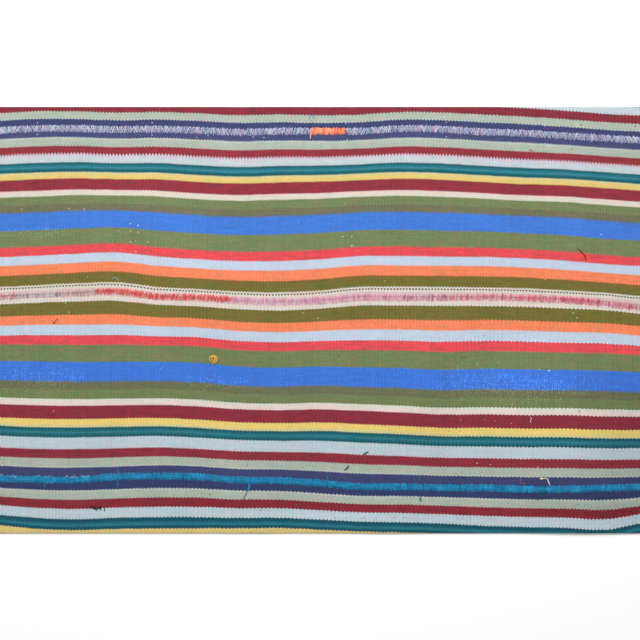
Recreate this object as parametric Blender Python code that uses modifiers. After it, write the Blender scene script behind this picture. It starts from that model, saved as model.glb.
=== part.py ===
# Striped kilim: a cut length of four narrow woven strips, laid side by side and sewn together.
# The stripes run along X, the strips are stacked along Y, and the cloth lies on the plane z = 0.

import math

import bpy

# Driving dimensions, in metres
LENGTH = 1.000
DEPTH = 0.655
THICKNESS = 0.0025
SEAM_GAP = 0.0003

# Straight place of each seam, as Y from the middle of the cloth
UPPER_SEAM = 0.290
CENTRE_SEAM = 0.032
LOWER_SEAM = -0.251

# How far each seam sways from its straight place, in millimetres towards +Y,
# at even stations from the left end of the cloth to the right end
MILLIMETRE = 0.001
UPPER_SWAY = (2, 5, 5, 3, 4, 2, -1, 0, -1, 0, 4, 3, 0, -3, -7, -12, -15)
CENTRE_SWAY = (4, 7, 10, 11, 4, 1, -3, -5, -2, 4, 4, 4, 3, 2, -1, -4, -10)
LOWER_SWAY = (10, 8, 7, 9, 11, 10, 6, 5, 1, -3, -3, -5, -6, -7, -7, -7, -6)

# Low rises where the cloth doesn't quite lie down, each one soft ridge:
# x and y of its middle, half its length, half its width, its height, and the turn of its run from +Y
RISES = (
    (0.400, -0.190, 0.260, 0.120, 0.0040, 4),
    (0.120, -0.200, 0.200, 0.085, 0.0026, -8),
    (-0.160, 0.090, 0.170, 0.080, 0.0024, 10),
    (-0.310, 0.060, 0.120, 0.070, 0.0022, -12),
    (-0.120, -0.250, 0.110, 0.075, 0.0018, 15),
    (0.460, 0.270, 0.130, 0.100, 0.0030, -20),
    (-0.420, -0.180, 0.150, 0.080, 0.0016, 6),
)

# Cells of the sheets: this many along each strip, and rows about this far apart across it
CELLS_ALONG = 64
ROW_HEIGHT = 0.030

# Finish of the wool, and the angle past which an edge of the cloth is shaded sharp
ROUGHNESS = 0.9
SHARP_EDGE_DEGREES = 40


def start_clean():
    for old in list(bpy.data.objects):
        bpy.data.objects.remove(old, do_unlink=True)


def sway_at(x, stations):
    """The sway at x, in metres, on a smooth curve through the stations."""
    place = (x / LENGTH + 0.5) * (len(stations) - 1)
    left = min(max(int(place), 0), len(stations) - 2)
    part = place - left
    before = stations[max(left - 1, 0)]
    start, end = stations[left], stations[left + 1]
    after = stations[min(left + 2, len(stations) - 1)]
    start_slope = (end - before) / 2
    end_slope = (after - start) / 2
    rise = 3 * (end - start) - 2 * start_slope - end_slope
    ease = 2 * (start - end) + start_slope + end_slope
    return MILLIMETRE * (start + part * (start_slope + part * (rise + part * ease)))


def upper_seam(x):
    return UPPER_SEAM + sway_at(x, UPPER_SWAY)


def centre_seam(x):
    return CENTRE_SEAM + sway_at(x, CENTRE_SWAY)


def lower_seam(x):
    return LOWER_SEAM + sway_at(x, LOWER_SWAY)


def top_cut(x):
    """The straight cut along the top, half a seam gap out, which woven_strip takes off again."""
    return DEPTH / 2 + SEAM_GAP / 2


def bottom_cut(x):
    """The straight cut along the bottom, likewise."""
    return -DEPTH / 2 - SEAM_GAP / 2


def soft(distance):
    """1 in the middle, 0 with no slope at a distance of 1, and exactly 0 beyond."""
    return math.cos(math.pi / 2 * distance) ** 2 if abs(distance) < 1 else 0.0


def lift(x, y):
    """How far the underside stands off the floor at a point of the cloth."""
    height = 0.0
    for middle_x, middle_y, half_length, half_width, top, turn in RISES:
        angle = math.radians(turn)
        away_x, away_y = x - middle_x, y - middle_y
        along = away_y * math.cos(angle) - away_x * math.sin(angle)
        across = away_x * math.cos(angle) + away_y * math.sin(angle)
        height += top * soft(along / half_length) * soft(across / half_width)
    return height


def wool(name, colour):
    material = bpy.data.materials.new(name)
    material.use_nodes = True
    shader = material.node_tree.nodes["Principled BSDF"]
    shader.inputs["Base Color"].default_value = (*colour, 1.0)
    shader.inputs["Roughness"].default_value = ROUGHNESS
    shader.inputs["Metallic"].default_value = 0.0
    material.diffuse_color = (*colour, 1.0)
    return material


def woven_strip(name, low_edge, high_edge, colour, collection):
    """One strip of cloth between two edges, half a seam gap inside each, following the rises."""
    widest = high_edge(0.0) - low_edge(0.0)
    bpy.ops.mesh.primitive_grid_add(
        x_subdivisions=CELLS_ALONG,
        y_subdivisions=max(2, round(widest / ROW_HEIGHT)),
        size=1.0,
    )
    strip = bpy.context.active_object
    strip.name = name
    strip.data.name = name
    for vertex in strip.data.vertices:
        x = vertex.co.x * LENGTH
        low = low_edge(x) + SEAM_GAP / 2
        high = high_edge(x) - SEAM_GAP / 2
        y = low + (vertex.co.y + 0.5) * (high - low)
        vertex.co = (x, y, lift(x, y))
    thicken = strip.modifiers.new("Cloth thickness", "SOLIDIFY")
    thicken.thickness = THICKNESS
    thicken.offset = 1.0
    strip.data.shade_smooth()
    strip.data.set_sharp_from_angle(angle=math.radians(SHARP_EDGE_DEGREES))
    strip.data.materials.append(wool(name + "_wool", colour))
    for other in list(strip.users_collection):
        other.objects.unlink(strip)
    collection.objects.link(strip)
    return strip


def build_kilim():
    start_clean()
    kilim = bpy.data.collections.new("striped_kilim")
    bpy.context.scene.collection.children.link(kilim)
    woven_strip("top_strip", upper_seam, top_cut, (0.46, 0.52, 0.40), kilim)
    woven_strip("upper_strip", centre_seam, upper_seam, (0.19, 0.23, 0.10), kilim)
    woven_strip("lower_strip", lower_seam, centre_seam, (0.16, 0.21, 0.09), kilim)
    woven_strip("bottom_strip", bottom_cut, lower_seam, (0.50, 0.57, 0.61), kilim)


build_kilim()
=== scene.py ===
# Striped kilim: the looks of four narrow warp-faced strips and of the three sewn seams that join them.
# The stripes run along X, the strips are stacked along Y, and the cloth lies on the plane z = 0.

import math
import random
from collections import namedtuple

import bpy
import numpy as np
from mathutils import Color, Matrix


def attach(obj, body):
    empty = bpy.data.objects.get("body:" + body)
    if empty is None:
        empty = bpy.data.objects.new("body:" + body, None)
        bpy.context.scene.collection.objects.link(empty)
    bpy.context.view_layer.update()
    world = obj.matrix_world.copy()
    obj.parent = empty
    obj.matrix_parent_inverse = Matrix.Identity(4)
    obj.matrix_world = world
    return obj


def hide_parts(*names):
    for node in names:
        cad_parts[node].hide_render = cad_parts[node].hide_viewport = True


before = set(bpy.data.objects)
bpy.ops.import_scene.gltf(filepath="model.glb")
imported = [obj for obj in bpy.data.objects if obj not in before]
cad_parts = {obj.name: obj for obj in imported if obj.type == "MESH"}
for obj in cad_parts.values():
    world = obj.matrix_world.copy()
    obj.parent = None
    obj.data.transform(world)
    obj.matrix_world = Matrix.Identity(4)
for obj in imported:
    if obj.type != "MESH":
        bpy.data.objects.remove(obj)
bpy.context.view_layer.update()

# Sizes of the cloth in metres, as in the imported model
MM = 0.001
LENGTH = 1.000
DEPTH = 0.655
THICKNESS = 2.5 * MM
SEAM_GAP = 0.3 * MM
UPPER_SEAM = 0.290
CENTRE_SEAM = 0.032
LOWER_SEAM = -0.251

# How far each seam sways from its straight place, in millimetres towards +Y,
# at even stations from the left end of the cloth to the right end
UPPER_SWAY = (2, 5, 5, 3, 4, 2, -1, 0, -1, 0, 4, 3, 0, -3, -7, -12, -15)
CENTRE_SWAY = (4, 7, 10, 11, 4, 1, -3, -5, -2, 4, 4, 4, 3, 2, -1, -4, -10)
LOWER_SWAY = (10, 8, 7, 9, 11, 10, 6, 5, 1, -3, -3, -5, -6, -7, -7, -7, -6)

# How far the stripes half-way between two seams sway beyond the seams, at the same stations,
# and how much further the upper quarter of them leans up than the lower quarter
UPPER_BULGE = (-3, -4, -3, -2, -2, -4, -3, -1, 0, 0, -1, -2, -2, -3, -2, -3, -2)
UPPER_LEAN = (0, 0, 0, -1, 0, 0, 0, 0, 0, 0, 0, 0, -1, -1, 0, 1, 0)
LOWER_BULGE = (1, -1, -3, -4, -1, -1, -2, -2, 0, -3, -5, -7, -5, -5, -4, -4, -3)
LOWER_LEAN = (0, 0, -1, -1, 0, 1, 0, 0, -1, -2, -1, -1, 0, 0, 0, 1, 1)
# The same for the stripes of the bottom strip, at this depth below its seam
BOTTOM_FAN = (-1, -4, -5, -5, -6, -5, -2, -1, 0, 1, 0, 0, -2, -3, -4, -7, 2)
BOTTOM_FAN_DEPTH = 54 * MM

# How far the sewing of a seam strays from the seam, in millimetres towards +Y, at the same stations
UPPER_STRAY = (-1, -1, -0.8, -0.5, -0.8, -0.8, -0.5, 0, 1, 0, 0, 0, -1, 0, 0, 1, 1)
CENTRE_STRAY = (-0.5, -1, -1, 1, 0, 1.8, 1.8, 1.8, 0, -1.3, -1.8, -1.8, 0.5, -0.3, 0.3, -2.8, -4)
LOWER_STRAY = (-3, -2, -2, 1, 0, 0, -1, -1, -1, -2, -2, -2, -1, -2, -2, 0, 0)

# Low rises where the cloth doesn't quite lie down: x and y of the middle, half the length, half the width
# and the height in metres, and the turn of the run from +Y in degrees
RISES = (
    (0.400, -0.190, 0.260, 0.120, 0.0040, 4),
    (0.120, -0.200, 0.200, 0.085, 0.0026, -8),
    (-0.160, 0.090, 0.170, 0.080, 0.0024, 10),
    (-0.310, 0.060, 0.120, 0.070, 0.0022, -12),
    (-0.120, -0.250, 0.110, 0.075, 0.0018, 15),
    (0.460, 0.270, 0.130, 0.100, 0.0030, -20),
    (-0.420, -0.180, 0.150, 0.080, 0.0016, 6),
)

# Distance between two wefts in millimetres, at even stations from the left end to the right end
TOP_WEFTS = (2.40, 2.50, 2.50, 2.60, 2.55, 2.60, 2.70)
UPPER_WEFTS = (2.34, 2.50, 2.41, 2.37, 2.46, 2.38, 2.34)
LOWER_WEFTS = (2.72, 2.50, 2.80, 2.66, 2.74, 3.05, 3.00)
BOTTOM_WEFTS = (2.56, 2.65, 2.92, 2.96, 2.77, 2.62, 3.00)

# Distance between two warp ends
TIGHT_ENDS = 1.45 * MM
LOOSE_ENDS = 1.30 * MM

# Stripes of each strip, with their widths in millimetres. The top strip is charted from its seam up,
# and the other three from their top edge down.
TOP_STRIPES = (
    ("navy", 13.1), ("pale_sage", 2.7), ("sage", 9.7), ("burgundy", 12.5), ("white", 13.0), ("teal", 15.0),
)
UPPER_STRIPES = (
    ("navy", 14.2), ("pale_sage", 2.7), ("sage", 9.6), ("burgundy", 11.6), ("rose_white", 4.2),
    ("white", 8.5), ("deep_teal", 3.6), ("teal", 2.4), ("light_teal", 2.9), ("teal", 1.7),
    ("deep_teal", 4.4), ("straw", 2.8), ("yellow", 7.3), ("burgundy", 17.1), ("rose_cream", 3.4),
    ("pale_cream", 5.6), ("green", 13.9), ("moss", 11.0), ("blue", 27.3), ("green", 26.2),
    ("red", 14.8), ("light_blue", 14.5), ("orange", 15.9), ("tan", 4.0),
    ("olive", 13.2), ("cream", 3.4), ("dark_olive", 1.6), ("cream", 4.0), ("blush", 6.2),
)
LOWER_STRIPES = (
    ("blush", 6.3), ("cream", 6.2), ("olive", 19.0), ("orange", 14.7), ("light_blue", 15.3),
    ("red", 14.1), ("green", 27.0), ("blue", 29.0), ("moss", 12.9), ("green", 14.5),
    ("pale_cream", 6.4), ("rose_cream", 3.7), ("burgundy", 21.2), ("yellow", 9.2), ("straw", 3.5),
    ("deep_teal", 3.9), ("teal", 3.0), ("light_teal", 2.4), ("teal", 2.7), ("deep_teal", 3.8),
    ("white", 16.6), ("rose_white", 2.3), ("burgundy", 13.7), ("sage", 11.7), ("pale_sage", 2.7),
    ("navy", 17.2),
)
BOTTOM_STRIPES = (
    ("navy", 16.6), ("pale_sage", 2.7), ("sage", 9.5), ("burgundy", 12.9), ("white", 14.5),
    ("deep_teal", 5.4), ("teal", 2.7), ("light_teal", 2.7), ("teal", 1.4), ("deep_teal", 4.1),
    ("yellow", 12.0), ("burgundy", 12.0),
)

# Colour changes with longer teeth, where the floats of every other weft are pulled apart by this many ends,
# and how many ends from the change they still are
LONG_TEETH = {("burgundy", "rose_white"): 0.75, ("moss", "blue"): 0.8, ("blue", "moss"): 0.8}
TEETH_REACH = 3.0
# A dye that one end has alone, so that it shows as a row of dashes
LONE_END = "dark_olive"

# Wool dyes, as the red, green and blue of a screen from 0 to 255
UPPER_DYES = {
    "navy": (75, 79, 122), "sage": (180, 191, 176), "pale_sage": (194, 202, 194),
    "burgundy": (152, 55, 67), "white": (202, 213, 219), "rose_white": (214, 202, 213),
    "teal": (40, 119, 131), "light_teal": (56, 139, 154), "deep_teal": (22, 97, 106),
    "yellow": (234, 207, 124), "straw": (218, 211, 159), "cream": (230, 219, 208),
    "pale_cream": (226, 222, 205), "rose_cream": (238, 211, 206), "blush": (226, 198, 196),
    "green": (124, 138, 93), "moss": (120, 121, 91), "blue": (72, 130, 225), "red": (236, 83, 89),
    "light_blue": (201, 217, 235), "orange": (255, 142, 99), "tan": (130, 108, 54),
    "olive": (122, 114, 54), "dark_olive": (98, 100, 72),
}
TOP_DYES = {
    **UPPER_DYES,
    "navy": (67, 72, 117), "burgundy": (139, 51, 64),
}
# The lower strips come from another dye lot, with deeper darks and cooler pales
LOWER_DYES = {
    **UPPER_DYES,
    "navy": (66, 72, 118), "burgundy": (147, 51, 65), "white": (197, 214, 222),
    "rose_white": (214, 204, 214), "teal": (38, 115, 128), "light_teal": (50, 129, 143),
    "deep_teal": (24, 96, 106), "yellow": (245, 217, 124), "straw": (225, 216, 157),
    "cream": (230, 219, 209), "pale_cream": (227, 228, 212), "rose_cream": (242, 220, 213),
    "green": (121, 135, 90), "moss": (115, 119, 87), "blue": (68, 126, 228),
}
BOTTOM_DYES = {
    **LOWER_DYES,
    "navy": (54, 65, 110), "burgundy": (142, 45, 57), "teal": (29, 109, 125),
    "light_teal": (47, 126, 141), "deep_teal": (18, 86, 102), "yellow": (232, 207, 132),
}

# How much of the light that its dye sends back the spun wool sends back
WOOL_DEPTH = 0.755


def dye(red, green, blue, depth=1.0):
    """A screen colour from 0 to 255 as the linear colour that a shader takes."""
    screen = Color([channel / 255 for channel in (red, green, blue)])
    return (*(depth * channel for channel in screen.from_srgb_to_scene_linear()), 1.0)


def smooth_curve(points, place):
    """The value or point at a place on a smooth curve through values or points, counted from 0."""
    points = np.asarray(points, float)
    last = len(points) - 1
    left = np.clip(np.asarray(place).astype(int), 0, last - 1)
    part = place - left
    before, start = points[np.maximum(left - 1, 0)], points[left]
    end, after = points[left + 1], points[np.minimum(left + 2, last)]
    start_slope = (end - before) / 2
    end_slope = (after - start) / 2
    rise = 3 * (end - start) - 2 * start_slope - end_slope
    ease = 2 * (start - end) + start_slope + end_slope
    return start + part * (start_slope + part * (rise + part * ease))


def along_table(x, stations):
    """The value at x on a smooth curve through values at even stations along the cloth."""
    return smooth_curve(stations, (np.asarray(x, float) / LENGTH + 0.5) * (len(stations) - 1))


def upper_seam(x):
    return UPPER_SEAM + MM * along_table(x, UPPER_SWAY)


def centre_seam(x):
    return CENTRE_SEAM + MM * along_table(x, CENTRE_SWAY)


def lower_seam(x):
    return LOWER_SEAM + MM * along_table(x, LOWER_SWAY)


def top_cut(x):
    return DEPTH / 2 + SEAM_GAP / 2 + 0 * x


def bottom_cut(x):
    return -DEPTH / 2 - SEAM_GAP / 2 + 0 * x


def lift(x, y):
    """How far the underside stands off the floor at a point of the cloth."""
    height = 0.0 * x
    for middle_x, middle_y, half_length, half_width, top, turn in RISES:
        angle = math.radians(turn)
        away_x, away_y = x - middle_x, y - middle_y
        along = (away_y * math.cos(angle) - away_x * math.sin(angle)) / half_length
        across = (away_x * math.cos(angle) + away_y * math.sin(angle)) / half_width
        soft_along = np.cos(math.pi / 2 * np.clip(along, -1, 1)) ** 2
        soft_across = np.cos(math.pi / 2 * np.clip(across, -1, 1)) ** 2
        height = height + top * soft_along * soft_across
    return height


def surface(x, y):
    """The height of the cloth's face at a point."""
    return float(lift(x, y)) + THICKNESS


Strip = namedtuple("Strip", "name node top bottom wefts ends stripes dyes bulge lean rows")

STRIPS = (
    Strip("top_strip_cloth", "top_strip", top_cut, upper_seam, TOP_WEFTS, TIGHT_ENDS,
          TOP_STRIPES, TOP_DYES, None, None, 10),
    Strip("upper_strip_cloth", "upper_strip", upper_seam, centre_seam, UPPER_WEFTS, TIGHT_ENDS,
          UPPER_STRIPES, UPPER_DYES, UPPER_BULGE, UPPER_LEAN, 34),
    Strip("lower_strip_cloth", "lower_strip", centre_seam, lower_seam, LOWER_WEFTS, LOOSE_ENDS,
          LOWER_STRIPES, LOWER_DYES, LOWER_BULGE, LOWER_LEAN, 38),
    Strip("bottom_strip_cloth", "bottom_strip", lower_seam, bottom_cut, BOTTOM_WEFTS, LOOSE_ENDS,
          BOTTOM_STRIPES, BOTTOM_DYES, None, None, 14),
)

# Relief of the ribs: each weft lies between two grooves, and has this many columns of points
COLUMNS_PER_WEFT = 3
GROOVE_SHARE = 0.30
WEFT_UNEVENNESS = 0.07
# Rounding of a selvedge or a cut edge: distance from the edge, and the share of the thickness there
EDGE_ROUNDING = ((0.0, 0.45), (0.8 * MM, 0.85), (2.6 * MM, 1.0))
SMOOTH_BELOW_DEGREES = 60


def rib_lines(wefts, seed):
    """x of each groove between two wefts, from the left end of the cloth to the right end."""
    uneven = random.Random(seed)
    lines = [-LENGTH / 2]
    while lines[-1] < LENGTH / 2:
        spacing = MM * float(along_table(lines[-1], wefts))
        lines.append(lines[-1] + spacing * uneven.uniform(1 - WEFT_UNEVENNESS, 1 + WEFT_UNEVENNESS))
    lines = np.array(lines)
    return (lines - lines[0]) * LENGTH / (lines[-1] - lines[0]) - LENGTH / 2


def height_of(strip):
    """The strip's height from edge to edge, at the middle of the cloth."""
    return float(strip.top(0.0) - strip.bottom(0.0))


def row_places(height, rows):
    """Shares of the strip's height at which its rows of points lie, closer together at the edges."""
    near_edge = [distance / height for distance, _ in EDGE_ROUNDING]
    inner = np.linspace(near_edge[-1], 1 - near_edge[-1], rows + 1)
    return np.array(near_edge[:-1] + list(inner) + [1 - place for place in reversed(near_edge[:-1])])


def charted_width(strip):
    return MM * sum(width for _, width in strip.stripes)


def place_of(strip, x, down):
    """y at a share of the way down the strip, with the distance there from the edge its chart starts at."""
    top, bottom = strip.top(x) - SEAM_GAP / 2, strip.bottom(x) + SEAM_GAP / 2
    y = top + down * (bottom - top)
    if strip.name == "top_strip_cloth":
        return y, y - bottom
    if strip.name == "bottom_strip_cloth":
        return y, (top - y) / (1 - MM * along_table(x, BOTTOM_FAN) / BOTTOM_FAN_DEPTH)
    half_way = 4 * down * (1 - down)
    y = y + MM * along_table(x, strip.bulge) * half_way
    y = y + MM * along_table(x, strip.lean) * np.sin(2 * math.pi * down)
    return y, down * charted_width(strip)


def points_of(mesh):
    """The mesh's points, as rows of x, y and z."""
    spots = np.empty(len(mesh.vertices) * 3)
    mesh.vertices.foreach_get("co", spots)
    return spots.reshape(-1, 3)


def corners_of(mesh):
    """The point at each corner of each face."""
    corners = np.empty(len(mesh.loops), int)
    mesh.loops.foreach_get("vertex_index", corners)
    return corners


def woven_cloth(strip, seed):
    """One strip of cloth: a grid with a column in each groove and two on each rib, given its thickness."""
    lines = rib_lines(strip.wefts, seed)
    picks = len(lines) - 1
    columns = COLUMNS_PER_WEFT * picks
    down = row_places(height_of(strip), strip.rows)
    bpy.ops.mesh.primitive_grid_add(x_subdivisions=columns, y_subdivisions=len(down) - 1, size=1.0)
    cloth = bpy.context.active_object
    cloth.name = strip.name
    cloth.data.name = strip.name
    mesh = cloth.data
    across, up, _ = points_of(mesh).T
    column = np.rint((across + 0.5) * columns).astype(int)
    row = np.rint((0.5 - up) * (len(down) - 1)).astype(int)
    weft_number = column / COLUMNS_PER_WEFT
    x = np.interp(weft_number, np.arange(picks + 1), lines)
    y, charted = place_of(strip, x, down[row])
    mesh.vertices.foreach_set("co", np.stack([x, y, lift(x, y)], axis=1).ravel())
    write_weave_map(mesh, weft_number, charted / strip.ends)
    thicken = cloth.modifiers.new("Cloth thickness", "SOLIDIFY")
    thicken.thickness = THICKNESS
    thicken.offset = 1.0
    bpy.ops.object.modifier_apply(modifier=thicken.name)
    press_grooves(mesh, column, row, columns, down * height_of(strip))
    bpy.ops.object.shade_smooth_by_angle(angle=math.radians(SMOOTH_BELOW_DEGREES))
    return cloth


def write_weave_map(mesh, weft_number, end_number):
    """The UV map that the weave follows: U counts the wefts, and V counts the warp ends."""
    layer = mesh.uv_layers.active
    layer.name = "weave"
    layer.uv.foreach_set("vector", np.stack([weft_number, end_number], axis=1)[corners_of(mesh)].ravel())


def press_grooves(mesh, column, row, columns, distances):
    """Thins the cloth about its middle, in each groove and at its edges. Both faces keep their ribs."""
    spots = points_of(mesh)
    count = len(column)
    share = np.where(column % COLUMNS_PER_WEFT == 0, 1 - GROOVE_SHARE, 1.0)
    from_edge = np.minimum(distances, distances[-1] - distances)[row]
    places, shares = zip(*EDGE_ROUNDING)
    share = share * np.interp(from_edge, places, shares)
    share = share * np.where((column == 0) | (column == columns), shares[0], 1.0)
    first, second = spots[:count], spots[count:2 * count]
    middle = (first + second) / 2
    spots[:count] = middle + (first - middle) * share[:, None]
    spots[count:2 * count] = middle + (second - middle) * share[:, None]
    mesh.vertices.foreach_set("co", spots.ravel())
    mesh.update()


class Recipe:
    """The nodes of one material, added and joined one step at a time."""

    def __init__(self, name):
        self.material = bpy.data.materials.new(name)
        self.material.use_nodes = True
        self.tree = self.material.node_tree
        self.shader = self.tree.nodes["Principled BSDF"]

    def put(self, socket, value):
        if isinstance(value, bpy.types.NodeSocket):
            self.tree.links.new(value, socket)
        else:
            socket.default_value = value

    def node(self, kind, inputs, **settings):
        made = self.tree.nodes.new(kind)
        for key, value in settings.items():
            setattr(made, key, value)
        for key, value in inputs.items():
            self.put(made.inputs[key], value)
        return made

    def math(self, operation, *values):
        return self.node("ShaderNodeMath", dict(enumerate(values)), operation=operation).outputs[0]

    def total(self, first, *others):
        for other in others:
            first = self.math("ADD", first, other)
        return first

    def product(self, first, *others):
        for other in others:
            first = self.math("MULTIPLY", first, other)
        return first

    def minus(self, first, second):
        return self.math("SUBTRACT", first, second)

    def distance(self, first, second):
        return self.math("ABSOLUTE", self.minus(first, second))

    def wave(self, turns):
        return self.math("SINE", self.product(turns, 2 * math.pi))

    def span(self, value, low, high, new_low=0.0, new_high=1.0):
        """The value's place between low and high, as a number from new_low to new_high."""
        inputs = {"Value": value, "From Min": low, "From Max": high, "To Min": new_low, "To Max": new_high}
        return self.node("ShaderNodeMapRange", inputs).outputs[0]

    def mix(self, share, first, second, blend="MIX"):
        inputs = {0: share, 6: first, 7: second}
        return self.node("ShaderNodeMix", inputs, data_type="RGBA", blend_type=blend).outputs[2]

    def shaded(self, colour, brightness):
        """The colour times a brightness that varies over the surface."""
        grey = self.node("ShaderNodeCombineColor", {0: brightness, 1: brightness, 2: brightness}).outputs[0]
        return self.mix(1.0, colour, grey, blend="MULTIPLY")

    def ramp(self, place, stops):
        """Sharp bands of colour, each from its stop to the next."""
        made = self.node("ShaderNodeValToRGB", {0: place})
        made.color_ramp.interpolation = "CONSTANT"
        elements = made.color_ramp.elements
        elements.remove(elements[1])
        for number, (position, colour) in enumerate(stops):
            element = elements.new(position) if number else elements[0]
            element.position = position
            element.color = colour
        return made.outputs[0]

    def split(self, vector):
        return self.node("ShaderNodeSeparateXYZ", {0: vector}).outputs

    def join(self, x, y, z=0.0):
        return self.node("ShaderNodeCombineXYZ", {0: x, 1: y, 2: z}).outputs[0]

    def stretched(self, x, y, shares, z=0.0):
        """A place for noise, with this much of a patch to each step in x and in y."""
        return self.join(self.product(x, shares[0]), self.product(y, shares[1]), z)

    def object_place(self):
        return self.node("ShaderNodeTexCoord", {}).outputs["Object"]

    def own_map(self, name):
        return self.split(self.node("ShaderNodeUVMap", {}, uv_map=name).outputs[0])

    def noise(self, where, scale, detail=2.0):
        inputs = {"Vector": where, "Scale": scale, "Detail": detail, "Roughness": 0.5}
        return self.node("ShaderNodeTexNoise", inputs).outputs[0]

    def either_way(self, value, most, low=0.0, high=1.0):
        """The value's place between low and high, as a number from minus the most to the most."""
        return self.span(value, low, high, -most, most)

    def chance(self, x, y):
        """An even random number from 0 to 1 for each pair of numbers."""
        inputs = {"Vector": self.join(x, y)}
        return self.node("ShaderNodeTexWhiteNoise", inputs, noise_dimensions="2D").outputs[0]

    def bump(self, height, distance, strength, below=None):
        inputs = {"Height": height, "Distance": distance, "Strength": strength}
        if below:
            inputs["Normal"] = below
        return self.node("ShaderNodeBump", inputs).outputs[0]

    def fuzz(self, place, scale):
        """The finest relief of the wool, with this many fibres to the metre."""
        return self.bump(self.noise(place, scale, detail=3.0), distance=0.15 * MM, strength=0.5)

    def patch(self, place, middle_x, middle_y, half_x, half_y, most):
        """The most in the middle of an oval patch, given in millimetres, fading to 0 at its edge."""
        x, y, _ = self.split(place)
        away_x = self.math("DIVIDE", self.minus(x, MM * middle_x), MM * half_x)
        away_y = self.math("DIVIDE", self.minus(y, MM * middle_y), MM * half_y)
        squares = self.total(self.product(away_x, away_x), self.product(away_y, away_y))
        return self.span(squares, low=0.15, high=1.0, new_low=most, new_high=0.0)

    def nearest_float(self, weft, end, half_length=0.9):
        """The float at a place of the weave, shaped like a long hexagon: its weft, whether its end is odd,
        its end, and how far the place is from the float's middle, 1 at its tips, and from its crest line."""
        own_pick = self.math("FLOOR", weft)
        along = self.minus(weft, own_pick)
        parity = self.math("FLOORED_MODULO", own_pick, 2.0)
        pair = self.math("ROUND", self.math("DIVIDE", self.minus(end, parity), 2.0))
        own_float = self.total(self.product(pair, 2.0), parity)
        off_float = self.minus(end, own_float)
        off_middle = self.distance(self.product(along, 2.0), 1.0)
        half_width = self.span(off_middle, low=0.35, high=1.0, new_low=1.01, new_high=0.68)
        over = self.math("GREATER_THAN", self.math("ABSOLUTE", off_float), half_width)
        next_pick = self.math("SIGN", self.minus(along, 0.5))
        pick = self.total(own_pick, self.product(over, next_pick))
        warp_float = self.total(own_float, self.product(over, self.math("SIGN", off_float)))
        side = self.distance(parity, over)
        from_middle = self.math("DIVIDE", self.distance(weft, self.total(pick, 0.5)), half_length)
        return pick, side, warp_float, from_middle, self.distance(end, warp_float)

    def finish(self, colour, normal, roughness, sheen):
        settings = {"Base Color": colour, "Normal": normal, "Roughness": roughness, "Sheen Weight": sheen,
                    "Specular IOR Level": 0.15, "Sheen Roughness": 0.5}
        for name, value in settings.items():
            self.put(self.shader.inputs[name], value)
        return self.material


# Patches where the grooves are worn: x and y of the middle, half sizes, in millimetres,
# and how often the weft shows there between two floats
WORN_PATCHES = (
    (298, -103, 135, 30, 0.38),
    (-160, -97, 60, 16, 0.26),
    (-430, -92, 85, 26, 0.30),
    (-435, 134, 75, 10, 0.42),
    (240, -68, 60, 16, 0.08),
    (-300, 120, 34, 30, 0.05),
)
# Patches of painted light and shade on the face, where light falls on its low rises and folds:
# x and y of the middle, half sizes, in millimetres, and how much lighter they are
PAINTED_LIGHT_AND_SHADE_PATCHES = (
    (311, -86, 120, 66, 0.05),
    (485, -200, 100, 150, -0.12),
    (350, -264, 90, 26, -0.09),
    (170, -170, 52, 66, -0.06),
    (-215, 115, 66, 66, 0.05),
    (-123, -242, 64, 46, 0.05),
    (61, -269, 80, 36, 0.05),
    (10, -303, 120, 14, 0.08),
    (420, -293, 130, 14, -0.10),
)
# A ramp holds this many colours, and each warp end takes one of them
RAMP_ENDS = 255


def stripe_stops(strip, side):
    """Where each stripe starts on the ramp of the even ends, side 0, or of the odd ends, side 1."""
    stops, start, above, last_end = [], 0.0, None, 0.0
    for colour, width in strip.stripes:
        first_end = MM * start / strip.ends
        if colour == LONE_END:
            first_end = lone_end = 2 * round(first_end / 2) - 1
        if above == LONE_END:
            first_end = lone_end + 2
        start += width
        above = colour
        if colour == LONE_END and side == 1:
            continue
        last_end = max(math.ceil(first_end) - 0.5, last_end)
        stops.append((last_end / RAMP_ENDS, dye(*strip.dyes[colour], depth=WOOL_DEPTH)))
    return stops


def pull_teeth(wool, strip, weave):
    """How far the floats are pulled up on one weft and down on the next, in ends, near the long teeth.
    They are pulled up on the wefts where the first end of the new colour floats."""
    sway = wool.math("PINGPONG", wool.minus(weave[0], 0.5), 1.0)
    wave = wool.span(sway, 0.0, 1.0, 1.0, -1.0)
    pull, start, above = 0.0, 0.0, None
    for colour, width in strip.stripes:
        if (above, colour) in LONG_TEETH:
            first_end = math.ceil(MM * start / strip.ends)
            away = wool.distance(weave[1], first_end - 0.5)
            most = LONG_TEETH[above, colour] * (-1) ** first_end
            near = wool.span(away, 0.5 * TEETH_REACH, TEETH_REACH, most, 0.0)
            pull = wool.total(pull, wool.product(near, wave))
        start += width
        above = colour
    return pull


# Shares of a cell, so that each thing left to chance draws lots of its own
ROW_LOT, GROOVE_LOT, WEFT_LOT, MARK_LOT = 0.23, 0.37, 0.5, 0.61


def weft_wear(wool, place, weave, ends=1.5, half_width=0.17, stray=0.0006):
    """1 on each short mark in a groove where the weft shows between worn floats, else 0."""
    likely = wool.total(stray, *(wool.patch(place, *patch) for patch in WORN_PATCHES))
    groove = wool.math("ROUND", weave[0])
    mark = wool.total(wool.math("FLOOR", wool.math("DIVIDE", weave[1], ends)), MARK_LOT)
    worn_row = wool.span(wool.chance(ROW_LOT, mark), 0.0, 1.0, new_low=0.2, new_high=1.8)
    lot = wool.chance(wool.total(groove, GROOVE_LOT), mark)
    shows = wool.math("LESS_THAN", lot, wool.product(likely, worn_row))
    return wool.product(shows, wool.math("LESS_THAN", wool.distance(weave[0], groove), half_width))


# Painted shade in the hollows about each float, and how close to them it stays
HOLLOW_SHADE, HOLLOW_POWER = -0.20, 5.0
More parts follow.
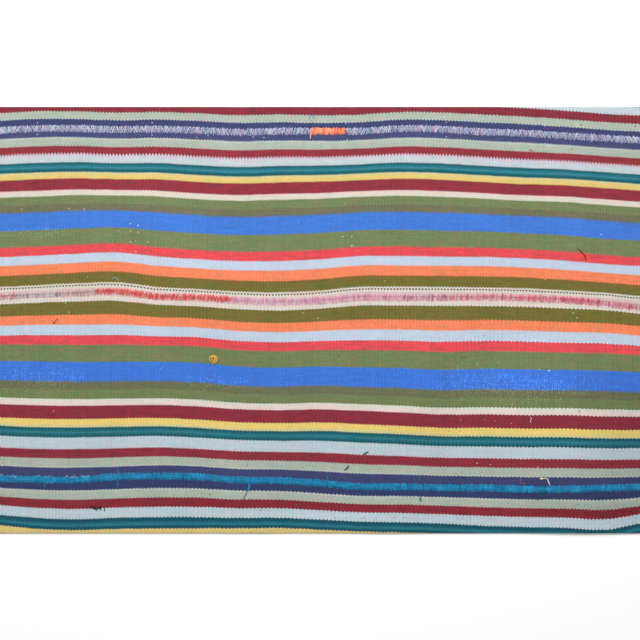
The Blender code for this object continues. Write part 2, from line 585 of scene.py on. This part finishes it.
# The whole cloth's brightness, and the share of a change that pale wool shows
BRIGHTNESS = 1.02
PALE_SHARE = 0.5
# How much of a streak there is to each weft and to each end
SHADE_STREAK = (0.05, 0.55)
TINT_STREAK = (0.09, 0.35)


def shades(wool, place, weave, end, floats, paleness):
    """Brightness beside the dye, with painted shade in the hollows and patches of painted light and shade."""
    pick, side, warp_float, from_middle, from_crest = floats
    each_float = wool.either_way(wool.chance(pick, warp_float), most=0.08)
    each_weft = wool.either_way(wool.chance(pick, WEFT_LOT), most=0.03)
    along = wool.stretched(weave[0], end, SHADE_STREAK)
    streaks = wool.either_way(wool.noise(along, scale=1.0, detail=3.0), most=0.11, low=0.25, high=0.75)
    ribbed = wool.span(wool.noise(place, scale=13.0), low=0.48, high=0.62, new_low=0.2)
    ribs = wool.product(ribbed, wool.either_way(side, most=0.06))
    fading = wool.either_way(wool.noise(place, scale=9.0, detail=4.0), most=0.05, low=0.3, high=0.7)
    fibres = wool.either_way(wool.noise(place, scale=1500.0), most=0.05, low=0.2, high=0.8)
    # Painted shade in the hollows at the tips and sides of each float
    at_tip, at_side = (wool.math("POWER", off, HOLLOW_POWER) for off in (from_middle, from_crest))
    painted_hollow_shade = wool.product(wool.math("MAXIMUM", at_tip, at_side), HOLLOW_SHADE)
    changes = wool.total(each_float, each_weft, streaks, ribs, fading, fibres, painted_hollow_shade)
    dark_share = wool.span(paleness, low=0.10, high=0.55, new_low=1.0, new_high=PALE_SHARE)
    # Patches of painted light and shade, where light falls on the low rises and folds
    patches = [wool.patch(place, *patch) for patch in PAINTED_LIGHT_AND_SHADE_PATCHES]
    return wool.total(BRIGHTNESS, wool.total(wool.product(changes, dark_share), *patches))


WARM_TINT = (1.22, 0.95, 0.94, 1.0)
COOL_TINT = (0.80, 1.05, 1.06, 1.0)
NO_TINT = (1.0, 1.0, 1.0, 1.0)
# How much of the change in tint is in streaks. The rest is in blotches.
STREAK_SHARE = 0.6


def tints(wool, place, weave, end, paleness):
    """Warmer and cooler wool, which shows less where it is pale."""
    streaks = wool.noise(wool.stretched(weave[0], end, TINT_STREAK, z=7.0), scale=1.0)
    blotches = wool.noise(place, scale=160.0)
    both = wool.total(wool.product(streaks, STREAK_SHARE), wool.product(blotches, 1 - STREAK_SHARE))
    tint = wool.mix(wool.span(both, low=0.35, high=0.65), COOL_TINT, WARM_TINT)
    return wool.mix(wool.span(paleness, low=0.10, high=0.50, new_high=PALE_SHARE), tint, NO_TINT)


# How sharply a float falls off at its tips and at its sides, and the twist of its yarn in turns to a weft
TIP_POWER, SIDE_POWER = 3.0, 2.0
TWIST_TURNS, TWIST_SHARE = 1.5, 0.10


def float_relief(wool, place, weave, end, from_middle, from_crest):
    """Each float swells up between its tips and its sides, with a faint twist and fuzz."""
    along = wool.minus(1.0, wool.math("POWER", from_middle, TIP_POWER))
    across = wool.minus(1.0, wool.math("POWER", from_crest, SIDE_POWER))
    twist = wool.wave(wool.total(wool.product(weave[0], TWIST_TURNS), end))
    height = wool.total(wool.product(along, across), wool.product(twist, TWIST_SHARE))
    return wool.bump(height, distance=0.35 * MM, strength=0.7, below=wool.fuzz(place, scale=2500.0))


# A worn mark is the wool's own colour made lighter, with a little of the weft's
WORN_LIGHTER = 1.5
WEFT_SHARE = 0.07
WEFT_DYE = (220, 224, 216)


def woven_wool(strip):
    """Warp-faced plain weave: on each weft every other end floats, and its neighbours float on the next."""
    wool = Recipe(strip.name + "_wool")
    place = wool.object_place()
    weave = wool.own_map("weave")
    wander = wool.either_way(wool.noise(place, scale=45.0), most=0.6)
    end = wool.total(weave[1], wander, pull_teeth(wool, strip, weave))
    floats = wool.nearest_float(weave[0], end)
    _, side, warp_float, from_middle, from_crest = floats
    down = wool.math("DIVIDE", wool.total(warp_float, 0.5), RAMP_ENDS)
    even_ends, odd_ends = (wool.ramp(down, stripe_stops(strip, parity)) for parity in (0, 1))
    colour = wool.mix(side, even_ends, odd_ends)
    paleness = wool.node("ShaderNodeRGBToBW", {0: colour}).outputs[0]
    colour = wool.shaded(colour, shades(wool, place, weave, end, floats, paleness))
    colour = wool.mix(1.0, colour, tints(wool, place, weave, end, paleness), blend="MULTIPLY")
    worn = wool.mix(WEFT_SHARE, wool.shaded(colour, WORN_LIGHTER), dye(*WEFT_DYE))
    colour = wool.mix(weft_wear(wool, place, weave), colour, worn)
    normal = float_relief(wool, place, weave, end, from_middle, from_crest)
    return wool.finish(colour, normal, roughness=0.92, sheen=0.12)


# Sewing yarn: how far the painted shade (a painted highlight below 0) reaches from a stroke's middle, and its
# plies
MIDDLE_REACH = 0.42
PLIES = 2.0
# Bands of a seam: how many to the metre, and over the length of a stroke
BANDS = (45.0, 7.0)


def sewing_wool(name, painted_middle_shade, turns, banding=0.0):
    """Yarn of a stitch. Its dye is on each stitch, its UV map runs along it, and its middle gets painted
    shade.
    """
    wool = Recipe(name)
    place = wool.object_place()
    round_it, lengthwise, _ = wool.own_map("yarn")
    own_dye = wool.node("ShaderNodeAttribute", {}, attribute_name="dye").outputs["Color"]
    # Painted shade, with some real depth of dense yarn, mid-stroke where it sinks into the seam; below 0 a
    # painted crest highlight
    depth = wool.span(wool.distance(lengthwise, 0.5), 0.0, MIDDLE_REACH, 1.0 - painted_middle_shade, 1.0)
    twist = wool.wave(wool.total(wool.product(lengthwise, turns), wool.product(round_it, PLIES)))
    fibres = wool.either_way(wool.noise(place, scale=1800.0, detail=3.0), most=0.12, low=0.2, high=0.8)
    # Painted light and shade of the twist: lighter on each ply's crest, darker in the grooves between plies
    painted_ply_shade = wool.span(twist, low=-1.0, high=1.0, new_low=0.88, new_high=1.06)
    row = wool.stretched(wool.split(place)[0], lengthwise, BANDS)
    bands = wool.span(wool.noise(row, scale=1.0), 0.3, 0.7, 1.0 - banding, 1.0 + banding)
    colour = wool.shaded(own_dye, wool.product(depth, wool.total(1.0, fibres), painted_ply_shade, bands))
    normal = wool.bump(twist, distance=0.18 * MM, strength=0.6, below=wool.fuzz(place, scale=3000.0))
    return wool.finish(colour, normal, roughness=0.85, sheen=0.1)


def deselect_all():
    for one in list(bpy.context.selected_objects):
        one.select_set(False)


# Ends of a stroke: their share of its width, and how suddenly it narrows to them
BLUNT = (0.75, 3)
POINTED = (0.45, 2)


def stitch_model(name, arch, ends, cuts=6, sides=6):
    """One stroke of yarn, 1 long and 1 wide, along Y. arch gives its height at a share of its length."""
    deselect_all()
    bpy.ops.mesh.primitive_cylinder_add(vertices=sides, radius=0.5, depth=1.0, rotation=(math.pi / 2, 0, 0))
    stroke = bpy.context.active_object
    bpy.ops.object.transform_apply(location=False, rotation=True, scale=False)
    stroke.name = name
    stroke.data.uv_layers.active.name = "yarn"
    bpy.context.tool_settings.mesh_select_mode = (False, True, False)
    bpy.ops.object.mode_set(mode="EDIT")
    bpy.ops.mesh.select_all(action="DESELECT")
    bpy.ops.object.mode_set(mode="OBJECT")
    for edge in stroke.data.edges:
        first, second = (stroke.data.vertices[corner].co for corner in edge.vertices)
        edge.select = abs(first.y - second.y) > 0.5
    bpy.ops.object.mode_set(mode="EDIT")
    bpy.ops.mesh.subdivide(number_cuts=cuts)
    bpy.ops.object.mode_set(mode="OBJECT")
    for corner in stroke.data.vertices:
        share = corner.co.y + 0.5
        width = taper(share, *ends)
        corner.co.x *= width
        corner.co.z = corner.co.z * width + arch(share)
    corners = corners_of(stroke.data)
    lengthwise = np.array([corner.co.y + 0.5 for corner in stroke.data.vertices])[corners]
    layer = stroke.data.uv_layers.active
    flat = np.empty(len(corners) * 2)
    layer.uv.foreach_get("vector", flat)
    flat = flat.reshape(-1, 2)
    flat[:, 1] = lengthwise
    layer.uv.foreach_set("vector", flat.ravel())
    stroke.data.shade_smooth()
    return stroke


def own_copy(model, colour):
    """A copy of a model with its own mesh, in one dye."""
    copy = model.copy()
    copy.data = model.data.copy()
    bpy.context.scene.collection.objects.link(copy)
    layer = copy.data.color_attributes.new("dye", "FLOAT_COLOR", "POINT")
    layer.data.foreach_set("color", np.tile(colour, len(copy.data.vertices)))
    return copy


def lay_stitch(model, place, turn, size, colour):
    """A copy of a stitch at its place, turned about Z, with its width, length and height."""
    copy = own_copy(model, colour)
    copy.location = place
    copy.rotation_euler = (0.0, 0.0, turn)
    copy.scale = size
    return copy


def join_all(name, parts, material):
    """Joins loose parts into one finished piece at the origin."""
    bpy.context.view_layer.update()
    deselect_all()
    for part in parts:
        part.select_set(True)
    bpy.context.view_layer.objects.active = parts[0]
    if len(parts) > 1:
        bpy.ops.object.join()
    bpy.ops.object.transform_apply(location=True, rotation=True, scale=True)
    piece = bpy.context.view_layer.objects.active
    piece.name = name
    piece.data.name = name
    piece.data.materials.clear()
    piece.data.materials.append(material)
    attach(piece, "root")
    return piece


def full_arch(share, dive=1.6):
    """Height of a stitch that goes over the seam: it rises out of the cloth and dives back in."""
    return 1.0 - abs(2 * share - 1) ** 4 * dive


def dipped_arch(share, middle=0.35, reach=0.95, dive=1.3):
    """Height of a stitch that sinks into the seam between its two ends."""
    out = abs(2 * share - 1)
    return middle + (1 - middle) * math.sin(math.pi * min(out / reach, 1.0)) - dive * out ** 8


def level_arch(share):
    return 0.0


def taper(share, least, power):
    """Width of a stroke at a share of its length: 1 in the middle, and the least at its ends."""
    return least + (1 - least) * math.sqrt(max(0.0, 1 - abs(2 * share - 1) ** power))


# The sewing starts and ends this far from the ends of the cloth, and each stroke is sunk by this share
# of its height into the face
SEWING_MARGIN = 2 * MM
SEWING_START = -LENGTH / 2 + SEWING_MARGIN
SEWING_END = LENGTH / 2 - SEWING_MARGIN
SUNK_SHARE = 0.25

# How the strokes of a kind of sewing lie, in millimetres and degrees. Width, length, height and pitch
# each have how much they vary. The turn, and the offset from the seam, are from the lowest to the highest.
Strokes = namedtuple("Strokes", "width length height turn offset pitch")
ZIGZAG = Strokes((0.9, 0.3), (12.4, 0.18), (1.2, 0.4), (8, 38), (-0.5, 0.5), (1.05, 0.4))
MENDING = Strokes((2.1, 0.15), (11.8, 0.12), (1.6, 0.2), (-14, 2), (-0.5, 0.7), (1.9, 0.15))
# In the centre seam each run has its own length and pitch
CENTRE = Strokes((0.95, 0.3), (11.0, 0.35), (0.9, 0.4), (-24, 24), (-0.7, 0.7), (1.0, 0.3))
OVERCAST = Strokes((1.6, 0.2), (12.2, 0.15), (1.2, 0.25), (-9, 9), (-0.7, 0.7), (1.25, 0.35))
FLUFF = Strokes((0.8, 0.2), (3.4, 0.3), (0.9, 0.2), (-75, 75), (3.0, 6.4), (1.9, 0.4))

# Yarns of the upper seam, of its orange mending and of the lower seam: each dye, and how often it comes
PALE_YARNS = (
    ((198, 197, 226), 6), ((176, 180, 212), 4), ((222, 226, 240), 3), ((212, 186, 214), 2),
    ((172, 196, 218), 2), ((154, 156, 196), 2),
)
ORANGE_YARNS = (((250, 146, 106), 3), ((238, 126, 92), 2), ((254, 170, 130), 2))
BLUE_YARNS = (((27, 124, 168), 6), ((24, 118, 160), 3), ((34, 130, 174), 3), ((30, 124, 158), 2))
# How likely the zigzag changes sides at a stroke, and how likely a yarn changes colour after one
CHANGE_SIDES = 0.85
CHANGE_PALE = 0.7
CHANGE_BLUE = 0.3
ORANGE_START, ORANGE_END = -14 * MM, 38 * MM


def varied(draw, middle, share):
    return middle * draw.uniform(1 - share, 1 + share)


def stroke_of(draw, kind, lean=1):
    """Offset, turn and size of one stroke of a kind."""
    size = tuple(varied(draw, middle * MM, share) for middle, share in (kind.width, kind.length, kind.height))
    turn = lean * math.radians(draw.uniform(*kind.turn))
    return draw.uniform(*kind.offset) * MM, turn, size


def step_of(draw, kind):
    """How far the next stroke is along the seam."""
    pitch, share = kind.pitch
    return varied(draw, pitch * MM, share)


def pick_dye(draw, yarns):
    colours, often = zip(*yarns)
    return dye(*draw.choices(colours, weights=often)[0])


def zigzag(draw):
    """Slanted strokes, to one side and then to the other, in a yarn that changes colour every few strokes."""
    x, lean, colour = SEWING_START, 1, pick_dye(draw, PALE_YARNS)
    while x < SEWING_END:
        if not ORANGE_START - MM < x < ORANGE_END + MM:
            yield x, stroke_of(draw, ZIGZAG, lean), colour
        x += step_of(draw, ZIGZAG)
        lean = -lean if draw.random() < CHANGE_SIDES else lean
        if draw.random() < CHANGE_PALE:
            colour = pick_dye(draw, PALE_YARNS)


def orange_mending(draw):
    """Close satin strokes, side by side, where the seam was sewn again."""
    x = ORANGE_START
    while x < ORANGE_END:
        yield x, stroke_of(draw, MENDING), pick_dye(draw, ORANGE_YARNS)
        x += step_of(draw, MENDING)


# Runs of the centre seam: x where the run ends, the strokes' length and their pitch in millimetres,
# how open it is, and its dyes
Run = namedtuple("Run", "end length pitch open yarns")
CENTRE_RUNS = (
    Run(-469, 12.0, 1.0, 0.10, (((212, 150, 156), 3), ((228, 186, 188), 2), ((178, 118, 130), 1))),
    Run(-397, 9.0, 1.1, 0.35, (((180, 164, 160), 3), ((212, 200, 206), 3), ((150, 134, 128), 1))),
    Run(-345, 11.0, 1.1, 0.22, (((188, 154, 148), 3), ((214, 182, 178), 2), ((222, 190, 196), 2))),
    Run(-136, 10.4, 0.8, 0.02, (((232, 80, 86), 5), ((216, 58, 72), 2), ((242, 148, 140), 4))),
    Run(15, 12.0, 1.0, 0.10, (((238, 174, 204), 4), ((240, 202, 218), 3), ((212, 138, 170), 2))),
    Run(123, 12.0, 1.0, 0.08, (((242, 168, 198), 4), ((244, 196, 212), 2), ((222, 130, 164), 2))),
    Run(200, 10.5, 1.0, 0.14, (((228, 158, 172), 3), ((236, 198, 204), 2), ((186, 122, 136), 2))),
    Run(277, 11.5, 1.0, 0.10, (((240, 150, 166), 3), ((242, 188, 196), 2), ((212, 108, 130), 2))),
    Run(369, 11.0, 1.0, 0.08, (((240, 134, 148), 4), ((222, 98, 118), 3), ((244, 186, 192), 2))),
    Run(430, 11.6, 0.9, 0.06, (((232, 106, 130), 4), ((206, 70, 100), 2), ((238, 170, 182), 2))),
    Run(500, 10.6, 1.0, 0.10, (((226, 128, 142), 4), ((238, 178, 186), 2), ((194, 98, 116), 2))),
)


def centre_strokes(draw):
    """Nearly upright strokes that sink into the seam, in runs of different yarn."""
    x = SEWING_START
    while x < SEWING_END:
        run = next(one for one in CENTRE_RUNS if x <= MM * one.end)
        kind = CENTRE._replace(length=(run.length, CENTRE.length[1]), pitch=(run.pitch, CENTRE.pitch[1]))
        if draw.random() > run.open:
            yield x, stroke_of(draw, kind), pick_dye(draw, run.yarns)
        x += step_of(draw, kind)


def overcast(draw):
    """Narrow flattened strokes, close together, all but upright."""
    x, colour = SEWING_START, pick_dye(draw, BLUE_YARNS)
    while x < SEWING_END:
        yield x, stroke_of(draw, OVERCAST), colour
        x += step_of(draw, OVERCAST)
        if draw.random() < CHANGE_BLUE:
            colour = pick_dye(draw, BLUE_YARNS)


# Where pale fluff sticks to the upper edge of the blue sewing, from x to x in millimetres
FLUFF_RUNS = ((-498, -487), (-475, -466), (-437, -430), (-425, -411), (-392, -374), (-366, -352))
FLUFF_YARNS = (((150, 206, 230), 3), ((108, 176, 208), 2), ((190, 220, 232), 1))


def fluff(draw):
    """Short loose bits, lying at all angles."""
    for start, end in FLUFF_RUNS:
        x = start * MM
        while x < end * MM:
            yield x, stroke_of(draw, FLUFF), pick_dye(draw, FLUFF_YARNS)
            x += step_of(draw, FLUFF)


def seam_stitches(seam, stray, plan, model, seed):
    """Copies of a stitch laid along a seam. The plan gives each one's x, how it lies and its dye."""
    parts = []
    for x, (offset, turn, size), colour in plan(random.Random(seed)):
        y = float(seam(x)) + MM * float(along_table(x, stray)) + offset
        slope = (float(seam(x + MM)) - float(seam(x - MM))) / (2 * MM)
        place = (x, y, surface(x, y) - SUNK_SHARE * size[2])
        parts.append(lay_stitch(model, place, turn + math.atan(slope), size, colour))
    return parts


# The strokes that show on the underside: how far apart, and their width, length and height
BACK_PITCH = 2.6 * MM
BACK_SIZE = (1.6 * MM, 9.0 * MM, 0.5 * MM)
BACK_YARNS = ((upper_seam, (196, 190, 224)), (centre_seam, (214, 118, 140)), (lower_seam, (30, 134, 178)))


def seam_backs(model):
    """The sewing as it shows on the underside of the cloth, flattened against what the cloth lies on."""
    parts = []
    for seam, colour in BACK_YARNS:
        for x in np.arange(SEWING_START, SEWING_END, BACK_PITCH):
            y = float(seam(x))
            parts.append(lay_stitch(model, (x, y, float(lift(x, y))), 0.0, BACK_SIZE, dye(*colour)))
    return parts


def sew_seams():
    """The three seams and the orange mending, each a joined piece of stitches."""
    over = stitch_model("stitch_over", full_arch, BLUNT)
    sunk = stitch_model("stitch_sunk", dipped_arch, BLUNT, cuts=8)
    back = stitch_model("stitch_back", level_arch, POINTED, cuts=3)
    # Pale and rose yarns get painted shade mid-stroke, and the blue yarn a painted highlight along its crest
    pale = sewing_wool("pale_seam_wool", painted_middle_shade=0.08, turns=4.0)
    orange = sewing_wool("orange_mending_wool", painted_middle_shade=0.0, turns=3.0, banding=0.12)
    rose = sewing_wool("rose_seam_wool", painted_middle_shade=0.25, turns=4.0)
    blue = sewing_wool("blue_seam_wool", painted_middle_shade=-0.10, turns=3.0, banding=0.34)
    upper = (upper_seam, UPPER_STRAY)
    centre = (centre_seam, CENTRE_STRAY)
    lower = (lower_seam, LOWER_STRAY)
    join_all("upper_seam_zigzag", seam_stitches(*upper, zigzag, over, seed=11), pale)
    join_all("orange_mending", seam_stitches(*upper, orange_mending, over, seed=12), orange)
    join_all("centre_seam_stitches", seam_stitches(*centre, centre_strokes, sunk, seed=13), rose)
    blue_strokes = seam_stitches(*lower, overcast, over, seed=14)
    pale_fluff = seam_stitches(*lower, fluff, over, seed=15)
    join_all("lower_seam_overcast", blue_strokes + pale_fluff, blue)
    join_all("seam_backs", seam_backs(back), pale)
    for model in (over, sunk, back):
        bpy.data.objects.remove(model, do_unlink=True)


# Yarn of the threads, the specks and the knot
SCRAP_DYES = {
    "pale": (232, 232, 226), "straw": (226, 206, 150), "lilac": (214, 206, 232),
    "grey": (150, 158, 166), "pink": (246, 182, 176), "ochre": (198, 158, 80), "brown": (98, 76, 58),
    "dark": (44, 44, 46), "soot": (40, 26, 30), "slate": (42, 56, 70), "sky": (126, 164, 230),
    "cyan": (34, 116, 146), "bright_blue": (50, 128, 182), "sea_green": (24, 110, 102),
    "deep_blue": (34, 78, 118), "crimson": (128, 26, 40), "magenta": (122, 44, 110),
    "orange": (232, 128, 70), "leaf": (70, 104, 66),
}

# Specks of lint and small knots: the yarn, how big across in millimetres, and x and y of each in millimetres
SPECKS = (
    ("pale", 2.0, ((-291, 148), (-280, 145), (-291, 120), (35, 128), (49, 128), (49, 114), (432, 131))),
    ("straw", 1.9, ((-291, 137), (-280, 135), (-283, 121), (-264, 120), (-283, 105), (337, -76))),
    ("straw", 1.8, ((-391, 26), (-386, 12), (-357, 66), (-26, 11), (-3, 3), (100, 60), (115, 52), (346, 62))),
    ("pale", 1.7, ((389, 11), (395, 3), (241, -220), (335, -226), (-363, -180), (348, -243), (343, -244))),
    ("pale", 2.6, ((352, -78), (340, -243))),
    ("pink", 1.7, ((457, 60), (-409, -140), (-458, 170), (-386, 171), (-362, 170))),
    ("pink", 1.4, ((216, -154), (253, -153), (269, -155), (294, -159))),
    ("pale", 1.6, ((262, -222),)),
    ("dark", 1.9, ((180, 9), (29, -55), (223, -57), (68, -45), (-57, -98), (-111, -223), (398, -140))),
    ("dark", 2.2, ((-169, -268), (-91, -292), (401, 300), (484, 297), (387, 263), (218, -58))),
    ("dark", 1.5, ((197, -171), (215, -171), (23, -304), (40, -304), (63, -304), (68, -304), (86, -304))),
    ("dark", 1.5, ((115, -304), (128, -304), (211, -304), (220, -304), (231, -304), (-106, -326))),
    ("dark", 2.8, ((423, 271),)),
    ("orange", 1.8, ((308, -246), (314, -251), (309, -250))),
    ("grey", 1.8, ((123, -20), (129, -28), (143, -24), (178, -22), (184, -29), (193, -24), (231, -31))),
    ("grey", 2.4, ((252, -24),)),
    ("lilac", 1.7, ((-434, 303), (-434, 285), (-258, 303), (-258, 284), (40, 302), (42, 277), (194, 304))),
    ("lilac", 1.7, ((194, 281), (345, 298), (346, 271), (-189, 280), (-172, 283), (-103, 281), (-86, 280))),
    ("magenta", 3.6, ((349, 293),)),
    ("leaf", 2.0, ((397, -283), (-36, -284))),
    ("crimson", 1.8, ((218, -234), (209, -236))),
    ("brown", 2.6, ((323, 261), (326, 260))),
)

# Threads that lie on the cloth: the yarn, its width and its route in millimetres,
# and how far it lies above the face where it crosses a seam
THREADS = (
    ("deep_blue", 0.9, ((-15, 307), (-15.5, 312), (-13, 318), (-10.5, 313), (-9.5, 308))),
    ("deep_blue", 0.8, ((-13, 307), (-12, 302), (-12.5, 297))),
    ("pink", 1.7, ((-9, 292), (-13, 289), (-14.5, 284), (-14.5, 278))),
    ("crimson", 1.8, ((398, 108), (403, 103), (407, 98), (409, 92))),
    ("brown", 1.5, ((395, 110), (398, 108), (401, 105))),
    ("crimson", 1.1, ((-411, 0), (-408.5, -6), (-406, -1), (-402, 3))),
    ("grey", 1.3, ((-319, 62), (-316, 65), (-312, 64), (-310, 61), (-306, 62))),
    ("sky", 1.1, ((-240, -71), (-243, -74), (-247, -78))),
    ("soot", 2.6, ((-352, -285), (-349, -288.5), (-345, -286.5))),
    ("soot", 2.2, ((-348.5, -286), (-345, -290), (-342, -291.5))),
    ("soot", 2.2, ((-343.5, -287), (-340, -289), (-336.5, -286))),
    ("soot", 1.7, ((-339.5, -287), (-337.5, -289.5), (-336, -292))),
    ("soot", 1.4, ((-331.5, -288), (-331, -291), (-331, -294))),
    ("slate", 2.1, ((74.5, -202), (72, -203.5), (69, -205), (66, -207))),
    ("slate", 1.9, ((45, -224), (42, -227), (37, -231))),
    ("cyan", 1.7, ((-423, -246), (-422.5, -252), (-423, -258))),
    ("cyan", 1.7, ((-311, -226), (-310.5, -232), (-311, -239))),
    ("cyan", 1.5, ((-311.5, -247), (-310.5, -253), (-312, -259))),
    ("cyan", 2.2, ((10, -238), (11.5, -243), (10.5, -250))),
    ("cyan", 1.8, ((-18, -249), (-19, -253), (-18.5, -257))),
    ("cyan", 1.7, ((152, -239), (152.5, -243), (152, -247))),
    ("sea_green", 2.4, ((153.5, -271), (154, -274), (155, -279))),
    ("slate", 1.2, ((-111, -262), (-113, -266), (-115, -270), (-118, -276))),
    ("bright_blue", 3.4, ((-109, -252), (-108.5, -256), (-111, -262))),
    ("pale", 1.6, ((349, -243), (350.5, -248), (353, -254))),
    ("straw", 1.6, ((337, -243), (340, -244.5), (344, -243), (347, -244))),
    ("pale", 0.9, ((323, -149), (324.5, -152), (323, -155), (324.5, -158))),
    ("deep_blue", 1.5, ((333, -258), (336, -265), (339, -271), (341, -277)), 0.8),
    ("deep_blue", 1.4, ((341, -266), (337, -271), (333, -277)), 0.8),
)

# The knot, a twice-wound loop of thick yarn with a short tail: its middle, and the centre line about it
KNOT_PLACE = (-164.5, -60.3)
KNOT_YARN = 3.0
KNOT_TURNS = 2.3
KNOT_START_RADIUS, KNOT_END_RADIUS = 6.9, 1.1
KNOT_POINTS = 21
KNOT_TAIL = ((-165, -65), (-165.2, -67), (-165.6, -69.5))
# A dark brown thread curled inside the loop, standing in for the shadow there
KNOT_SHADOW_HOOK = ((-168.2, -57), (-168.0, -60), (-166.3, -63), (-164.0, -63.8))


def on_route(points, share):
    """The point at a share of a smooth route through the points."""
    return smooth_curve(points, share * (len(points) - 1))


THREAD_LIFT = 0.3
HEADING_STEP = 0.02


def lay_thread(model, colour, width, route, base=0.0, climb=0.0):
    """A copy of the straight yarn, bent along a route above the face, from the base up to base and climb."""
    copy = own_copy(model, dye(*SCRAP_DYES[colour]))
    for corner in copy.data.vertices:
        share = corner.co.y + 0.5
        middle = on_route(route, share)
        ahead = on_route(route, min(share + HEADING_STEP, 1.0))
        behind = on_route(route, max(share - HEADING_STEP, 0.0))
        heading = (ahead - behind) / np.linalg.norm(ahead - behind)
        x = MM * (middle[0] + heading[1] * corner.co.x * width)
        y = MM * (middle[1] - heading[0] * corner.co.x * width)
        above = MM * (width * (THREAD_LIFT + corner.co.z) + base + climb * share)
        corner.co = (x, y, surface(MM * middle[0], MM * middle[1]) + above)
    return copy


def knot_route():
    route = []
    for step in range(KNOT_POINTS):
        share = step / (KNOT_POINTS - 1)
        radius = KNOT_START_RADIUS + share * (KNOT_END_RADIUS - KNOT_START_RADIUS)
        angle = math.radians(-100) + share * KNOT_TURNS * 2 * math.pi
        route.append((KNOT_PLACE[0] + radius * math.cos(angle), KNOT_PLACE[1] + radius * math.sin(angle)))
    return route


def speck_model(bulging=0.22):
    """A small lump of felted wool."""
    deselect_all()
    bpy.ops.mesh.primitive_ico_sphere_add(subdivisions=2, radius=0.5)
    lump = bpy.context.active_object
    lump.name = "speck_model"
    lump.data.uv_layers.active.name = "yarn"
    for corner in lump.data.vertices:
        corner.co *= 1.0 + bulging * math.sin(9 * corner.co.x + 2.0) * math.cos(7 * corner.co.y)
    lump.data.shade_smooth()
    return lump


# Width, length and height of a speck, as shares of how big across it is, and how much they vary
SPECK_SHARES = (1.0, 0.95, 0.45)
SPECK_UNEVENNESS = 0.15
SPECK_SEED = 21


def lay_scraps():
    """The small things that lie on the cloth: threads, specks of lint and the ochre knot."""
    draw = random.Random(SPECK_SEED)
    wool = sewing_wool("scrap_wool", painted_middle_shade=0.0, turns=4.0)
    yarn = stitch_model("yarn_model", level_arch, POINTED, cuts=11)
    join_all("loose_threads", [lay_thread(yarn, *thread) for thread in THREADS], wool)
    lump = speck_model()
    specks = []
    for colour, across, places in SPECKS:
        for x, y in places:
            size = [varied(draw, MM * across * share, SPECK_UNEVENNESS) for share in SPECK_SHARES]
            place = (MM * x, MM * y, surface(MM * x, MM * y))
            specks.append(lay_stitch(lump, place, draw.uniform(0, math.pi), size, dye(*SCRAP_DYES[colour])))
    join_all("specks_of_lint", specks, wool)
    long_yarn = stitch_model("long_yarn_model", level_arch, POINTED, cuts=39, sides=10)
    wound = lay_thread(long_yarn, "ochre", KNOT_YARN, knot_route(), climb=1.2)
    tail = lay_thread(yarn, "grey", width=1.9, route=KNOT_TAIL)
    # A dark thread that stands in for the shadow inside the loop
    shadow_hook = lay_thread(yarn, "brown", width=1.4, route=KNOT_SHADOW_HOOK, base=2.6)
    join_all("ochre_knot", [wound, tail, shadow_hook], wool)
    for model in (yarn, long_yarn, lump):
        bpy.data.objects.remove(model, do_unlink=True)


def weave_strips():
    for seed, strip in enumerate(STRIPS):
        deselect_all()
        cloth = woven_cloth(strip, seed)
        cloth.data.materials.append(woven_wool(strip))
        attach(cloth, "root")
        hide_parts(strip.node)
        round(height_of(strip), 3)


# The floor lies just below the flattened stitches of the underside
FLOOR_SIZE = 8.0
FLOOR_DROP = 0.35 * MM


def lay_floor():
    deselect_all()
    bpy.ops.mesh.primitive_plane_add(size=FLOOR_SIZE, location=(0.0, 0.0, -FLOOR_DROP))
    floor = bpy.context.active_object
    floor.name = "floor"
    recipe = Recipe("pale_floor")
    settings = {"Base Color": (0.95, 0.95, 0.95, 1.0), "Roughness": 0.95, "Specular IOR Level": 0.1}
    for name, value in settings.items():
        recipe.put(recipe.shader.inputs[name], value)
    floor.data.materials.append(recipe.material)


# The view: straight down, this far away, over this width of cloth
VIEW_HEIGHT = 3.0
VIEW_WIDTH = 0.984
SENSOR = 36.0


def set_camera():
    camera = bpy.data.objects.new("camera", bpy.data.cameras.new("camera"))
    camera.data.sensor_width = SENSOR
    camera.data.lens = SENSOR * VIEW_HEIGHT / VIEW_WIDTH
    camera.location = (0.0, 0.0, VIEW_HEIGHT)
    bpy.context.scene.collection.objects.link(camera)
    bpy.context.scene.camera = camera


# The light: the even glow of the room, and one soft lamp beyond the top edge
ROOM_STRENGTH = 0.55
LAMP_SIZE = (1.8, 1.2)
LAMP_WATTS = 60.0
LAMP_PLACE = (-0.15, 1.5, 1.9)


def set_light():
    world = bpy.data.worlds.new("studio")
    world.use_nodes = True
    glow = world.node_tree.nodes["Background"].inputs
    glow["Color"].default_value = (1.0, 1.0, 1.0, 1.0)
    glow["Strength"].default_value = ROOM_STRENGTH
    bpy.context.scene.world = world
    lamp = bpy.data.lights.new("soft_light", "AREA")
    lamp.shape = "RECTANGLE"
    lamp.size, lamp.size_y = LAMP_SIZE
    lamp.energy = LAMP_WATTS
    light = bpy.data.objects.new("soft_light", lamp)
    light.location = LAMP_PLACE
    light.rotation_euler = (-light.location).to_track_quat("-Z", "Y").to_euler()
    bpy.context.scene.collection.objects.link(light)
    bpy.context.scene.view_settings.view_transform = "Standard"


weave_strips()
sew_seams()
lay_scraps()
lay_floor()
set_camera()
set_light()
